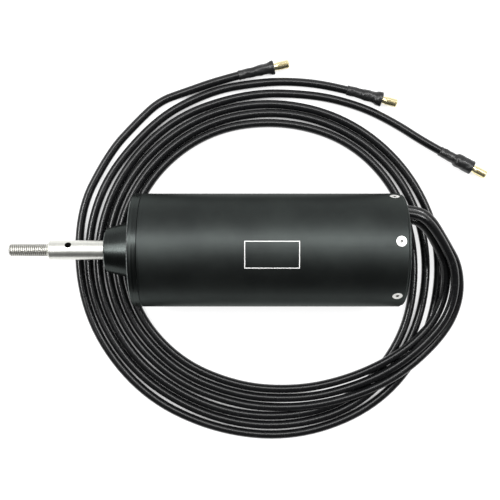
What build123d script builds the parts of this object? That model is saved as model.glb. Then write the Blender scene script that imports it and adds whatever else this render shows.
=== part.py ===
"""A sealed brushless motor for a small boat or board, with its shaft, seals, bearings,
wound stator, magnet rotor and three long phase cables that end in bullet pins.

Frame, in millimetres: the origin is the centre of the front mounting face, on the shaft's
axis. +X runs to the rear, where the cables leave, so the shaft points along -X. +Z is up.
The motor lies on its side, on a surface that is one can radius below the axis.
"""

import os
from math import cos, pi, radians, sin, tan

from build123d import *

os.makedirs("parts", exist_ok=True)

# Can and covers
CAN_DIAMETER = 70.0
CAN_WALL = 4.0
MOTOR_LENGTH = 165.0  # front mounting face to rear face
FRONT_RIM_WIDTH = 5.8
REAR_RIM_WIDTH = 1.0
REAR_RIM_INSET = 0.8  # the rim's edge lies this far inside the can's
FACE_CHAMFER = 0.6
SEAM_CHAMFER = 0.25
FRONT_SPIGOT_LENGTH = 10.2
REAR_SPIGOT_LENGTH = 18.0
SPIGOT_CLEARANCE = 0.03  # radial, covers in the can
OVERSHOOT = 1.0  # how far a cutter runs past the metal

# Nose
NOSE_LENGTH = 17.3
NOSE_FRONT_DIAMETER = 27.0
NOSE_BASE_DIAMETER = 36.0
NOSE_CHAMFER = 0.7
WEB_CLEARANCE = 0.8  # around the front bearing's inner ring

# Mounting holes in the front face, tapped M5
MOUNT_CIRCLE = 50.0
MOUNT_COUNT = 4
MOUNT_HOLE_DIAMETER = 4.2
MOUNT_HOLE_DEPTH = 10.0

# O-rings, drawn in their squeezed section
O_RING_WIDTH = 2.6
O_RING_HEIGHT = 2.1
O_RING_CORNER = 0.6
O_RING_CLEARANCE = 0.04
O_RING_OFFSET = 5.2  # middle of the ring from the end of its spigot

# Shaft
SHAFT_DIAMETER = 12.0
SHAFT_REACH = 52.8  # front face to the stud's shoulder
STUD_DIAMETER = 8.0
STUD_LENGTH = 24.5
STUD_CHAMFER = 0.9
RELIEF_DIAMETER = 6.6
RELIEF_LENGTH = 1.8
SHAFT_CHAMFER = 0.7
SEAL_LAND_DIAMETER = 12.5  # raised, so that the journal doesn't scrape the seals' lips
SEAL_LAND_BEFORE_NOSE = 0.3
DRIVE_PIN_DIAMETER = 4.0
DRIVE_PIN_FROM_SHOULDER = 12.6
DRIVE_PIN_ANGLE = 32.0  # from +Z towards +Y
COLLAR_DIAMETER = 19.0
CORE_SEAT_DIAMETER = 14.0
SHAFT_STEP_BEFORE_FACE = 0.5
SHAFT_TAIL = 2.0  # beyond the rear bearing

# Bearings: bore, outer diameter, width, ball diameter, ball count
FRONT_BEARING = dict(bore=15.0, outer=35.0, width=11.0, ball=5.95, balls=8)
REAR_BEARING = dict(bore=12.0, outer=28.0, width=8.0, ball=4.76, balls=8)
FRONT_BEARING_X = 1.5
REAR_BEARING_SETBACK = 16.5  # rear face of the motor to the bearing's front face
SEAT_FIT = 0.01  # radial, bearing rings on the shaft and in the covers
BALL_CLEARANCE = 0.05
RACE_DEPTH = 1.1  # depth of a ball's groove in a ring
BALL_BANDS = 10  # flat bands from pole to pole, so that inner pieces have few facets
CAGE_THICKNESS = 1.2
CAGE_EDGE = 0.7
CAGE_CLEARANCE = 0.15
SHIELD_THICKNESS = 0.5
SHIELD_RECESS = 0.3
SHIELD_FIT = 0.02
SHIELD_CLEARANCE = 0.2
CIRCLIP_THICKNESS = 1.2
CIRCLIP_DEPTH = 1.1
CIRCLIP_CLEARANCE = 0.05
CIRCLIP_GAP_ANGLE = 40.0
CIRCLIP_HEIGHT = 1.6  # how far a circlip stands out of its seat
WASHER_THICKNESS = 0.4
WASHER_RISE = 0.7
WASHER_CLEARANCE = 0.1
WASHER_INNER_MARGIN = 0.3
WASHER_OUTER_MARGIN = 0.2
TAIL_CLEARANCE = 1.0  # shaft's tail to the rear cover

# Shaft seals
SEAL_OUTER_DIAMETER = 22.0
SEAL_WIDTH = 7.0
SEAL_SPACING = 0.4
SEAL_RECESS = 0.5  # nose face to the first seal
SEAL_FIT = 0.02
LIP_CLEARANCE = 0.04
SEAL_SKIN = 1.3
LIP_START = 1.0  # places along a seal, from its outer face
LIP_EDGE = 4.3
LIP_END = 5.3
LIP_HEIGHT = 1.9
LIP_BACK = 0.7
LIP_RELIEF = 0.8
LIP_TAPER = 0.3

# Stator
FRONT_WINDING_SPACE = 16.0  # front cover to the stack
REAR_WINDING_SPACE = 18.0  # stack to the rear cover
SLOT_COUNT = 12
SLOT_DEPTH_SHARE = 0.287  # of the can's bore radius
TOOTH_WIDTH = 4.2
TOOTH_TIP = 1.6
YOKE_THICKNESS = 3.5
SLOT_OPENING = 2.2
STACK_FIT = 0.02
INSULATOR_THICKNESS = 1.0
INSULATOR_MARGIN = 0.3
LINER_THICKNESS = 0.25
WINDING_CLEARANCE = 0.1
COIL_BUILD = 4.0  # thickness of a coil's side in the slot
COIL_GAP_ANGLE = 0.8  # half the gap between neighbouring coils

# Rotor
AIR_GAP = 0.55
SLEEVE_THICKNESS = 0.4
MAGNET_THICKNESS = 3.0
MAGNET_COUNT = 8
MAGNET_ARC = 40.0
ROTOR_OVERHANG = 2.0  # rotor core beyond each end of the stack
ROTOR_FIT = 0.02
MAGNET_CLEARANCE = 0.03
CORE_HOLE_SHARE = 0.54  # of the core's wall
BALANCE_RING_THICKNESS = 3.0
BALANCE_HOLE_DIAMETER = 2.5
BALANCE_HOLE_DEPTH = 1.6
BALANCE_HOLE_ANGLES = (25.0, 50.0)

# Rear cover screws, M3 countersunk with a 2 mm hexagon
SCREW_COUNT = 6
SCREW_FROM_REAR = 6.0
SCREW_FIRST_ANGLE = 8.4  # from +Z towards +Y
SCREW_DIAMETER = 3.0
SCREW_HEAD_DIAMETER = 6.0
SCREW_LENGTH = 8.0
SCREW_FIT = 0.03
SCREW_SUNK = 0.15
SCREW_TIP_CLEARANCE = 0.5
SOCKET_ACROSS_FLATS = 2.0
SOCKET_DEPTH = 1.1

# Cables
CABLE_DIAMETER = 5.5
CABLE_ARC_SHARE = 0.45  # share of the shorter run that an arc takes
CABLE_SPREAD = 3.4  # outlet's middle to the middle of each cable
CABLE_LOW_ANGLE = 30.0  # how far the lower two cables sit under the outlet's middle
OUTLET_POCKET_DIAMETER = 13.0
OUTLET_POCKET_DEPTH = 9.0
OUTLET_BORE_DIAMETER = 10.8
OUTLET_RECESS = 2.5  # rear face to the potting's face
POTTING_FIT = 0.02
LEAD_DIAMETER = 2.6
LEAD_CLEARANCE = 0.05
LEAD_IN_POCKET = 2.0
LEAD_BENDS = (0.3, 0.7)  # places of a lead's two bends, as shares of its way to the cover
LEAD_BEND_RADIUS = 1.6

# Heat-shrink sleeves and bullet pins
SLEEVE_NECK_DIAMETER = 6.5
SLEEVE_NECK_LENGTH = 12.0
SLEEVE_BODY_DIAMETER = 8.4
SLEEVE_BODY_LENGTH = 12.0
SLEEVE_SHOULDER = 1.0
SLEEVE_LIP = 0.4
SLEEVE_LIP_LENGTH = 1.5
SLEEVE_CLEARANCE = 0.1
BARREL_DIAMETER = 6.4
BARREL_RECESS = 0.5  # sleeve's mouth to the barrel's end
PIN_DIAMETER = 5.4
PIN_WAIST = 4.7
PIN_WAIST_LENGTH = 1.5  # places along the pin, from the sleeve's mouth
PIN_BULGE_START = 3.0
PIN_LENGTH = 10.2
PIN_TIP_CHAMFER = 0.6
PIN_SLOT_WIDTH = 0.5
PIN_SLOT_LENGTH = 7.7

# Values worked out from those above
CAN_RADIUS = CAN_DIAMETER / 2
BORE_RADIUS = CAN_RADIUS - CAN_WALL
SPIGOT_RADIUS = BORE_RADIUS - SPIGOT_CLEARANCE
FRONT_SPIGOT_END = FRONT_RIM_WIDTH + FRONT_SPIGOT_LENGTH
CAN_END = MOTOR_LENGTH - REAR_RIM_WIDTH
REAR_SPIGOT_START = CAN_END - REAR_SPIGOT_LENGTH
GROOVE_RADIUS = BORE_RADIUS - O_RING_HEIGHT - 2 * O_RING_CLEARANCE
GROOVE_HALF_WIDTH = O_RING_WIDTH / 2 + O_RING_CLEARANCE
SHAFT_RADIUS = SHAFT_DIAMETER / 2
SEAL_LAND_RADIUS = SEAL_LAND_DIAMETER / 2
FRONT_BEARING_END = FRONT_BEARING_X + FRONT_BEARING["width"]
REAR_BEARING_X = MOTOR_LENGTH - REAR_BEARING_SETBACK
REAR_BEARING_END = REAR_BEARING_X + REAR_BEARING["width"]
STACK_START = FRONT_SPIGOT_END + FRONT_WINDING_SPACE
STACK_END = REAR_SPIGOT_START - REAR_WINDING_SPACE
STACK_LENGTH = STACK_END - STACK_START
SLOT_BOTTOM = BORE_RADIUS - YOKE_THICKNESS
SLOT_TOP = SLOT_BOTTOM - SLOT_DEPTH_SHARE * BORE_RADIUS
STATOR_RADIUS = SLOT_TOP - TOOTH_TIP
ROTOR_START = STACK_START - ROTOR_OVERHANG
ROTOR_END = STACK_END + ROTOR_OVERHANG
ROTOR_RADIUS = STATOR_RADIUS - AIR_GAP
MAGNET_RADIUS = ROTOR_RADIUS - SLEEVE_THICKNESS - MAGNET_CLEARANCE
CORE_RADIUS = MAGNET_RADIUS - MAGNET_THICKNESS - MAGNET_CLEARANCE
SCREW_X = MOTOR_LENGTH - SCREW_FROM_REAR
POTTING_FACE = MOTOR_LENGTH - OUTLET_RECESS
REAR_SEAT_RADIUS = REAR_BEARING["outer"] / 2 + SEAT_FIT
OUTLET_Y = (REAR_SEAT_RADIUS + SPIGOT_RADIUS) / 2  # midway between the seat and the can
OUTLET_LOW = -CABLE_SPREAD * sin(radians(CABLE_LOW_ANGLE))
OUTLET_NEAR = OUTLET_Y - CABLE_SPREAD * cos(radians(CABLE_LOW_ANGLE))
OUTLET_FAR = OUTLET_Y + CABLE_SPREAD * cos(radians(CABLE_LOW_ANGLE))
SLEEVE_BODY_RADIUS = SLEEVE_BODY_DIAMETER / 2
SURFACE = -CAN_RADIUS  # what the motor lies on
LYING = SURFACE + CABLE_DIAMETER / 2  # middle of a cable on the surface
PLUGGED = SURFACE + SLEEVE_BODY_RADIUS  # middle of a sleeve on the surface

# The cables' routes, from the potting to the bullet pins
ROUTE_U = [
    (POTTING_FACE, OUTLET_FAR, OUTLET_LOW), (173.5, OUTLET_FAR, OUTLET_LOW),
    (184.2, 21, -3.8), (195.3, 5.8, -11.3),
    (206.9, -11, -19.8), (208.3, -33.8, -24.5), (197.5, -56.5, -26), (168.8, -82.9, -26),
    (135.4, -97.4, -26), (101.8, -104.3, -29.8), (63, -102.6, LYING), (20.5, -86.3, LYING),
    (-13.4, -51.3, LYING), (-25.8, -2.4, LYING), (-10.6, 48.3, LYING), (29.6, 86, LYING),
    (81.4, 99.7, LYING), (135.1, 88.3, LYING), (177.3, 53.2, LYING), (199, 2.5, LYING),
    (191.6, -55.5, LYING), (160.1, -100.6, LYING), (106.4, -123.8, LYING), (49.5, -120, LYING),
    (-3.3, -93.8, LYING), (-38.9, -42, LYING), (-43.1, 22.6, LYING), (-21.5, 64.5, LYING),
    (-3, 84.6, LYING), (11.6, 98.4, LYING), (27, 103.9, LYING), (54.2, 113.05, PLUGGED),
    (75.6, 118, PLUGGED),
]
ROUTE_V = [
    (POTTING_FACE, OUTLET_Y, CABLE_SPREAD), (172.8, OUTLET_Y, CABLE_SPREAD),
    (182, 18.2, 2), (193, 4.2, -5.3),
    (203, -12, -14.3), (203.2, -33, -19.2), (194, -52.5, -21.5), (167.4, -76.8, -24.2),
    (135.8, -91.5, -28.6), (103.9, -98.8, LYING), (63.9, -96.7, LYING), (21.4, -79.8, LYING),
    (-11.1, -42.7, LYING), (-18.8, 5.9, LYING), (0, 52, LYING), (40.2, 84.5, LYING),
    (92, 93.4, LYING), (140.1, 78.5, LYING), (176, 43.4, LYING), (190.9, -6, LYING),
    (181, -59.6, LYING), (146.1, -102.9, LYING), (93.1, -118.6, LYING), (38.5, -109.6, LYING),
    (-10.1, -77.9, LYING), (-37.3, -24.4, LYING), (-31.5, 36.9, LYING), (6.7, 85.3, LYING),
    (45.2, 105.4, LYING), (78, 111, LYING), (102, 111.6, LYING), (125.9, 108.2, PLUGGED),
    (147.1, 102.5, PLUGGED),
]
ROUTE_W = [
    (POTTING_FACE, OUTLET_NEAR, OUTLET_LOW), (172.6, OUTLET_NEAR, OUTLET_LOW),
    (181.6, 15, -4.3), (190.7, 2.2, -11.3),
    (199.2, -13, -19.8), (198.2, -32.2, -24.5), (189.3, -51.1, -26), (166, -70.6, -25.5),
    (135.7, -85.4, -30), (102.3, -92.8, LYING), (63.5, -90.4, LYING), (22.9, -73.1, LYING),
    (-6.4, -37.5, LYING), (-12, 8.2, LYING), (6.7, 51.1, LYING), (45.7, 80.3, LYING),
    (94.4, 86.1, LYING), (139.6, 71.7, LYING), (171.4, 36.8, LYING), (182.3, -9.7, LYING),
    (173.6, -60.1, LYING), (137.7, -101.2, LYING), (85, -112.4, LYING), (34.1, -101.1, LYING),
    (-10.2, -68.5, LYING), (-32.2, -15.8, LYING), (-21.2, 41.2, LYING), (16.4, 85.6, LYING),
    (67.8, 104, LYING), (113, 103.2, LYING), (144, 95.5, LYING), (167.5, 84, LYING),
    (188.1, 70.1, PLUGGED), (207.5, 59.8, PLUGGED),
]


LIFTED = (Align.CENTER, Align.CENTER, Align.MIN)  # a primitive that stands on its plane


def turned(*profile):
    """A piece turned about the motor's axis, from its half profile of (x, radius) points."""
    return revolve(make_face(Polyline(*profile, close=True)), Axis.X)


def ring(start, end, inner, outer):
    """A plain ring between two places on the axis. An inner radius of 0 gives a disc."""
    return turned((start, inner), (end, inner), (end, outer), (start, outer))


def around(piece, count, first=0.0):
    """Copies of a piece, evenly spaced about the motor's axis."""
    return [Rot(X=first + 360.0 * i / count) * piece for i in range(count)]


def rod_along(start, direction, length, radius):
    """A round rod from a point along a direction."""
    foot = Plane(origin=start, z_dir=direction)
    return extrude(foot * Circle(radius), length)


def write(name, *pieces):
    """One STEP file for a node. A node of several pieces keeps them as separate solids."""
    solids = [solid for piece in pieces for solid in piece.solids()]
    shape = solids[0] if len(solids) == 1 else Compound(solids)
    export_step(shape, f"parts/{name}.step")


def front_cover():
    """The machined front cover: rim, spigot, bearing seat and conical nose in one piece."""
    nose_front = -NOSE_LENGTH
    nose_radius = NOSE_FRONT_DIAMETER / 2
    slope = (NOSE_BASE_DIAMETER / 2 - nose_radius) / NOSE_LENGTH
    seal_radius = SEAL_OUTER_DIAMETER / 2
    seal_end = nose_front + SEAL_RECESS + 2 * SEAL_WIDTH + SEAL_SPACING
    seat_radius = FRONT_BEARING["outer"] / 2 + SEAT_FIT
    ring_step = seat_radius - bearing_ring_height(FRONT_BEARING)
    web_bore = FRONT_BEARING["bore"] / 2 + WEB_CLEARANCE
    web_face = FRONT_BEARING_X - WEB_CLEARANCE
    groove_middle = FRONT_SPIGOT_END - O_RING_OFFSET
    clip_start = FRONT_BEARING_END + CIRCLIP_CLEARANCE
    clip_end = clip_start + CIRCLIP_THICKNESS + 2 * CIRCLIP_CLEARANCE
    body = turned(
        (nose_front, seal_radius),
        (nose_front, nose_radius - NOSE_CHAMFER),
        (nose_front + NOSE_CHAMFER, nose_radius + slope * NOSE_CHAMFER),
        (0, NOSE_BASE_DIAMETER / 2),
        (0, CAN_RADIUS - FACE_CHAMFER),
        (FACE_CHAMFER, CAN_RADIUS),
        (FRONT_RIM_WIDTH - SEAM_CHAMFER, CAN_RADIUS),
        (FRONT_RIM_WIDTH, CAN_RADIUS - SEAM_CHAMFER),
        (FRONT_RIM_WIDTH, SPIGOT_RADIUS),
        (groove_middle - GROOVE_HALF_WIDTH, SPIGOT_RADIUS),
        (groove_middle - GROOVE_HALF_WIDTH, GROOVE_RADIUS),
        (groove_middle + GROOVE_HALF_WIDTH, GROOVE_RADIUS),
        (groove_middle + GROOVE_HALF_WIDTH, SPIGOT_RADIUS),
        (FRONT_SPIGOT_END - FACE_CHAMFER, SPIGOT_RADIUS),
        (FRONT_SPIGOT_END, SPIGOT_RADIUS - FACE_CHAMFER),
        (FRONT_SPIGOT_END, seat_radius),
        (clip_end, seat_radius),
        (clip_end, seat_radius + CIRCLIP_DEPTH),
        (clip_start, seat_radius + CIRCLIP_DEPTH),
        (clip_start, seat_radius),
        (FRONT_BEARING_X, seat_radius),
        (FRONT_BEARING_X, ring_step),
        (web_face, ring_step),
        (web_face, web_bore),
        (seal_end, web_bore),
        (seal_end, seal_radius),
    )
    hole = rod_along(
        (0, MOUNT_CIRCLE / 2, 0), (1, 0, 0), MOUNT_HOLE_DEPTH, MOUNT_HOLE_DIAMETER / 2
    )
    return body - around(hole, MOUNT_COUNT, 180 / MOUNT_COUNT)


def screw_direction(angle):
    """The way a rear cover screw points inwards, for its angle from +Z towards +Y."""
    return (0, -sin(radians(angle)), -cos(radians(angle)))


def screw_places():
    """The head's outer middle and the inward direction of each rear cover screw."""
    for i in range(SCREW_COUNT):
        direction = screw_direction(SCREW_FIRST_ANGLE + 360.0 * i / SCREW_COUNT)
        reach = CAN_RADIUS - SCREW_SUNK
        yield (SCREW_X, -direction[1] * reach, -direction[2] * reach), direction


def housing_tube():
    """The can: a tube with chamfered ends and six countersunk holes for the rear screws."""
    tube = turned(
        (FRONT_RIM_WIDTH, BORE_RADIUS),
        (FRONT_RIM_WIDTH, CAN_RADIUS - SEAM_CHAMFER),
        (FRONT_RIM_WIDTH + SEAM_CHAMFER, CAN_RADIUS),
        (CAN_END - REAR_RIM_INSET, CAN_RADIUS),
        (CAN_END, CAN_RADIUS - REAR_RIM_INSET),
        (CAN_END, BORE_RADIUS),
    )
    for place, direction in screw_places():
        head = SCREW_HEAD_DIAMETER / 2 + SCREW_FIT
        shank = SCREW_DIAMETER / 2 + SCREW_FIT
        plane = Plane(origin=place, z_dir=direction)
        tube -= plane * Pos(Z=(head - shank) / 2) * Cone(head, shank, head - shank)
        tube -= plane * Pos(Z=-OVERSHOOT) * Cylinder(head, OVERSHOOT, align=LIFTED)
        tube -= plane * Cylinder(shank, CAN_WALL + OVERSHOOT, align=LIFTED)
    return tube


def rear_cover_screws():
    """Six countersunk screws with hexagon sockets."""
    head = SCREW_HEAD_DIAMETER / 2
    shank = SCREW_DIAMETER / 2
    socket = RegularPolygon(SOCKET_ACROSS_FLATS / 2, 6, major_radius=False)
    screw = Cylinder(shank, SCREW_LENGTH, align=LIFTED)
    screw += Pos(Z=(head - shank) / 2) * Cone(head, shank, head - shank)
    screw -= extrude(socket, SOCKET_DEPTH)
    return [Plane(origin=place, z_dir=direction) * screw for place, direction in screw_places()]


def rear_cover():
    """The plug in the can's rear end, with the bearing seat and the cables' outlet."""
    seat_radius = REAR_SEAT_RADIUS
    seat_end = REAR_BEARING_END + WASHER_RISE + WASHER_CLEARANCE
    pit_radius = seat_radius - bearing_ring_height(REAR_BEARING)
    pit_end = REAR_BEARING_END + SHAFT_TAIL + TAIL_CLEARANCE
    groove_middle = REAR_SPIGOT_START + O_RING_OFFSET
    cover = turned(
        (REAR_SPIGOT_START, seat_radius),
        (REAR_SPIGOT_START, SPIGOT_RADIUS - FACE_CHAMFER),
        (REAR_SPIGOT_START + FACE_CHAMFER, SPIGOT_RADIUS),
        (groove_middle - GROOVE_HALF_WIDTH, SPIGOT_RADIUS),
        (groove_middle - GROOVE_HALF_WIDTH, GROOVE_RADIUS),
        (groove_middle + GROOVE_HALF_WIDTH, GROOVE_RADIUS),
        (groove_middle + GROOVE_HALF_WIDTH, SPIGOT_RADIUS),
        (CAN_END, SPIGOT_RADIUS),
        (CAN_END, CAN_RADIUS - REAR_RIM_INSET),
        (MOTOR_LENGTH - SEAM_CHAMFER, CAN_RADIUS - REAR_RIM_INSET),
        (MOTOR_LENGTH, CAN_RADIUS - REAR_RIM_INSET - SEAM_CHAMFER),
        (MOTOR_LENGTH, 0),
        (pit_end, 0),
        (pit_end, pit_radius),
        (seat_end, pit_radius),
        (seat_end, seat_radius),
    )
    outlet = (REAR_SPIGOT_START, OUTLET_Y, 0)
    pocket = (MOTOR_LENGTH, OUTLET_Y, 0)
    cover -= rod_along(outlet, (1, 0, 0), REAR_SPIGOT_LENGTH, OUTLET_BORE_DIAMETER / 2)
    cover -= rod_along(pocket, (-1, 0, 0), OUTLET_POCKET_DEPTH, OUTLET_POCKET_DIAMETER / 2)
    hole = Cylinder(
        SCREW_DIAMETER / 2 + SCREW_FIT, SCREW_LENGTH + SCREW_TIP_CLEARANCE, align=LIFTED)
    for place, direction in screw_places():
        cover -= Plane(origin=place, z_dir=direction) * hole
    return cover


def o_ring(middle):
    """A squeezed O-ring: its section is a rectangle with cut corners."""
    inner = GROOVE_RADIUS + O_RING_CLEARANCE
    outer = BORE_RADIUS - O_RING_CLEARANCE
    half = O_RING_WIDTH / 2
    cut = O_RING_CORNER
    return turned(
        (middle - half, inner + cut), (middle - half + cut, inner),
        (middle + half - cut, inner), (middle + half, inner + cut),
        (middle + half, outer - cut), (middle + half - cut, outer),
        (middle - half + cut, outer), (middle - half, outer - cut),
    )


def shaft():
    """The stainless shaft: M8 stud, ground journal with a cross hole, collar and seats."""
    stud = STUD_DIAMETER / 2
    relief = RELIEF_DIAMETER / 2
    tip = -SHAFT_REACH - STUD_LENGTH
    step = -SHAFT_STEP_BEFORE_FACE
    land_start = -NOSE_LENGTH - SEAL_LAND_BEFORE_NOSE
    front_seat = FRONT_BEARING["bore"] / 2 - SEAT_FIT
    rear_seat = REAR_BEARING["bore"] / 2 - SEAT_FIT
    collar = COLLAR_DIAMETER / 2
    core = CORE_SEAT_DIAMETER / 2
    collar_end = ROTOR_START - BALANCE_RING_THICKNESS
    clip_start = ROTOR_END + BALANCE_RING_THICKNESS + CIRCLIP_CLEARANCE
    clip_end = clip_start + CIRCLIP_THICKNESS + 2 * CIRCLIP_CLEARANCE
    tail = REAR_BEARING_END + SHAFT_TAIL
    body = turned(
        (tip, 0),
        (tip, stud - STUD_CHAMFER),
        (tip + STUD_CHAMFER, stud),
        (-SHAFT_REACH - RELIEF_LENGTH, stud),
        (-SHAFT_REACH - RELIEF_LENGTH + stud - relief, relief),
        (-SHAFT_REACH, relief),
        (-SHAFT_REACH, SHAFT_RADIUS - SHAFT_CHAMFER),
        (-SHAFT_REACH + SHAFT_CHAMFER, SHAFT_RADIUS),
        (land_start, SHAFT_RADIUS),
        (land_start + SEAL_LAND_RADIUS - SHAFT_RADIUS, SEAL_LAND_RADIUS),
        (step, SEAL_LAND_RADIUS),
        (step + front_seat - SEAL_LAND_RADIUS, front_seat),
        (FRONT_BEARING_END, front_seat),
        (FRONT_BEARING_END, collar),
        (collar_end, collar),
        (collar_end, core),
        (clip_start, core),
        (clip_start, core - CIRCLIP_DEPTH),
        (clip_end, core - CIRCLIP_DEPTH),
        (clip_end, core),
        (REAR_BEARING_X, core),
        (REAR_BEARING_X, rear_seat),
        (tail - SHAFT_CHAMFER, rear_seat),
        (tail, rear_seat - SHAFT_CHAMFER),
        (tail, 0),
    )
    angle = radians(DRIVE_PIN_ANGLE)
    middle = -SHAFT_REACH + DRIVE_PIN_FROM_SHOULDER
    across = (0, sin(angle), cos(angle))
    start = (middle, -across[1] * SHAFT_DIAMETER, -across[2] * SHAFT_DIAMETER)
    return body - rod_along(start, across, 2 * SHAFT_DIAMETER, DRIVE_PIN_DIAMETER / 2)


def bearing_ring_height(size):
    """Radial height of a bearing ring at its shoulders."""
    return ((size["outer"] - size["bore"]) / 2 - size["ball"]) / 2 + RACE_DEPTH


def banded_ball(radius):
    """A ball turned about Z from a profile of flat bands, which lies inside the true sphere."""
    angles = [radians(180.0 * i / BALL_BANDS) for i in range(BALL_BANDS + 1)]
    return lathe([(radius * sin(angle), -radius * cos(angle)) for angle in angles])


def bearing(size, start):
    """A shielded ball bearing: outer ring, inner ring, balls, cage and two shields."""
    bore, outer = size["bore"] / 2, size["outer"] / 2
    pitch = (bore + outer) / 2
    ball = size["ball"] / 2
    end = start + size["width"]
    middle = (start + end) / 2
    height = bearing_ring_height(size)
    groove = Pos(middle, pitch) * RegularPolygon(ball + BALL_CLEARANCE, BALL_BANDS, major_radius=False)

    def race(low, high):
        section = make_face(Polyline((start, low), (end, low), (end, high), (start, high), close=True))
        return revolve(section - groove, Axis.X)

    balls = around(Pos(middle, pitch, 0) * banded_ball(ball), size["balls"])
    half = ball + CAGE_EDGE
    cage = ring(middle - half, middle + half, pitch - CAGE_THICKNESS / 2, pitch + CAGE_THICKNESS / 2)
    pocket = Pos(middle, pitch, 0) * Rot(X=90) * Cylinder(ball + CAGE_CLEARANCE, 4 * CAGE_THICKNESS)
    cage -= around(pocket, size["balls"])
    low = bore + height + SHIELD_CLEARANCE
    high = outer - height - SHIELD_FIT
    shields = [
        ring(start + SHIELD_RECESS, start + SHIELD_RECESS + SHIELD_THICKNESS, low, high),
        ring(end - SHIELD_RECESS - SHIELD_THICKNESS, end - SHIELD_RECESS, low, high),
    ]
    return {
        "outer_ring": [race(outer - height, outer)],
        "inner_ring": [race(bore, bore + height)],
        "balls": balls,
        "cage": [cage],
        "shields": shields,
    }


def circlip(start, inner, outer):
    """A retaining ring with a gap at the bottom."""
    clip = ring(start, start + CIRCLIP_THICKNESS, inner, outer)
    gap = Rot(Z=-90) * sector(outer + OVERSHOOT, radians(CIRCLIP_GAP_ANGLE / 2))
    foot = Plane.YZ.offset(start - OVERSHOOT)
    return clip - extrude(foot * gap, CIRCLIP_THICKNESS + 2 * OVERSHOOT)


def preload_washer():
    """A conical spring washer that loads the rear bearing's outer ring."""
    start = REAR_BEARING_END
    outer = REAR_BEARING["outer"] / 2
    low = outer - bearing_ring_height(REAR_BEARING) + WASHER_INNER_MARGIN
    high = outer - WASHER_OUTER_MARGIN
    rise = WASHER_RISE - WASHER_THICKNESS
    return turned(
        (start + rise, low), (start, high),
        (start + WASHER_THICKNESS, high), (start + rise + WASHER_THICKNESS, low),
    )


def shaft_seal(start):
    """A rotary lip seal: outer skin, web at the water side and a lip towards the shaft."""
    outer = SEAL_OUTER_DIAMETER / 2 - SEAL_FIT
    lip = SEAL_LAND_RADIUS + LIP_CLEARANCE
    skin = outer - SEAL_SKIN
    waist = lip + LIP_HEIGHT
    return turned(
        (start, outer),
        (start + SEAL_WIDTH, outer),
        (start + SEAL_WIDTH, skin),
        (start + SEAL_SKIN, skin),
        (start + SEAL_SKIN, waist + LIP_TAPER),
        (start + LIP_END, waist),
        (start + LIP_END, lip + LIP_BACK),
        (start + LIP_EDGE, lip),
        (start + LIP_START, lip + LIP_RELIEF),
        (start, lip + LIP_RELIEF),
    )


def sector(radius, half_angle):
    """A slice of a disc, centred on the first axis of its plane."""
    reach = 2 * radius
    side = reach * tan(half_angle)
    return Circle(radius) & make_face(Polyline((0, 0), (reach, side), (reach, -side), close=True))


def teeth(width, reach):
    """Radial bars, one for each stator tooth, for cutting slots."""
    bar = Pos(reach / 2, 0) * Rectangle(reach, width)
    return [Rot(Z=360.0 * i / SLOT_COUNT) * bar for i in range(SLOT_COUNT)]


def slot_openings(reach):
    """Radial bars through the slot mouths."""
    bar = Pos(reach / 2, 0) * Rectangle(reach, SLOT_OPENING)
    return [Rot(Z=360.0 * (i + 0.5) / SLOT_COUNT) * bar for i in range(SLOT_COUNT)]


def slots(margin):
    """The twelve slots as areas, drawn in by a margin all round."""
    area = Circle(SLOT_BOTTOM - margin) - Circle(SLOT_TOP + margin)
    return area - teeth(TOOTH_WIDTH + 2 * margin, CAN_RADIUS)


def toothed_plate(start, thickness, bore, outer, margin):
    """A plate with the stator's slots. A negative margin widens the teeth."""
    section = Circle(outer) - Circle(bore) - slots(margin) - slot_openings(SLOT_TOP + OVERSHOOT)
    return extrude(Plane.YZ.offset(start) * section, thickness)


def slot_liners():
    """Twelve thin liners that wrap the inside of the slots."""
    gap = STACK_FIT
    section = slots(gap) - slots(gap + LINER_THICKNESS) - slot_openings(SLOT_TOP + OVERSHOOT)
    return extrude(Plane.YZ.offset(STACK_START) * section, STACK_LENGTH)


def tooth_coil():
    """The coil on the tooth that points along +Y: an oval ring, trimmed to its share."""
    space = STACK_FIT + LINER_THICKNESS + WINDING_CLEARANCE
    inner_half = TOOTH_WIDTH / 2 + space
    outer_half = inner_half + COIL_BUILD
    straight = STACK_LENGTH + 2 * (INSULATOR_THICKNESS + WINDING_CLEARANCE)
    low, high = SLOT_TOP + space, SLOT_BOTTOM - space
    middle = STACK_START + STACK_LENGTH / 2
    face = Plane(origin=(middle, low, 0), x_dir=(1, 0, 0), z_dir=(0, 1, 0))
    oval = SlotCenterToCenter(straight, 2 * outer_half) - SlotCenterToCenter(straight, 2 * inner_half)
    coil = extrude(face * oval, high - low)
    half_angle = radians(180 / SLOT_COUNT - COIL_GAP_ANGLE)
    return coil & extrude(Plane.YZ.offset(middle) * sector(high, half_angle), straight, both=True)


def magnet():
    """One arc magnet, centred on +Y."""
    section = sector(MAGNET_RADIUS, radians(MAGNET_ARC / 2)) - Circle(CORE_RADIUS + MAGNET_CLEARANCE)
    return extrude(Plane.YZ.offset(ROTOR_START) * section, ROTOR_END - ROTOR_START)


def rotor_core():
    """The rotor's back iron, with a ring of lightening holes."""
    bore = CORE_SEAT_DIAMETER / 2 + ROTOR_FIT
    core = ring(ROTOR_START, ROTOR_END, bore, CORE_RADIUS)
    place = (ROTOR_START, 0, (bore + CORE_RADIUS) / 2)
    hole_radius = CORE_HOLE_SHARE * (CORE_RADIUS - bore) / 2
    hole = rod_along(place, (1, 0, 0), ROTOR_END - ROTOR_START, hole_radius)
    return core - around(hole, MAGNET_COUNT)


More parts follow.
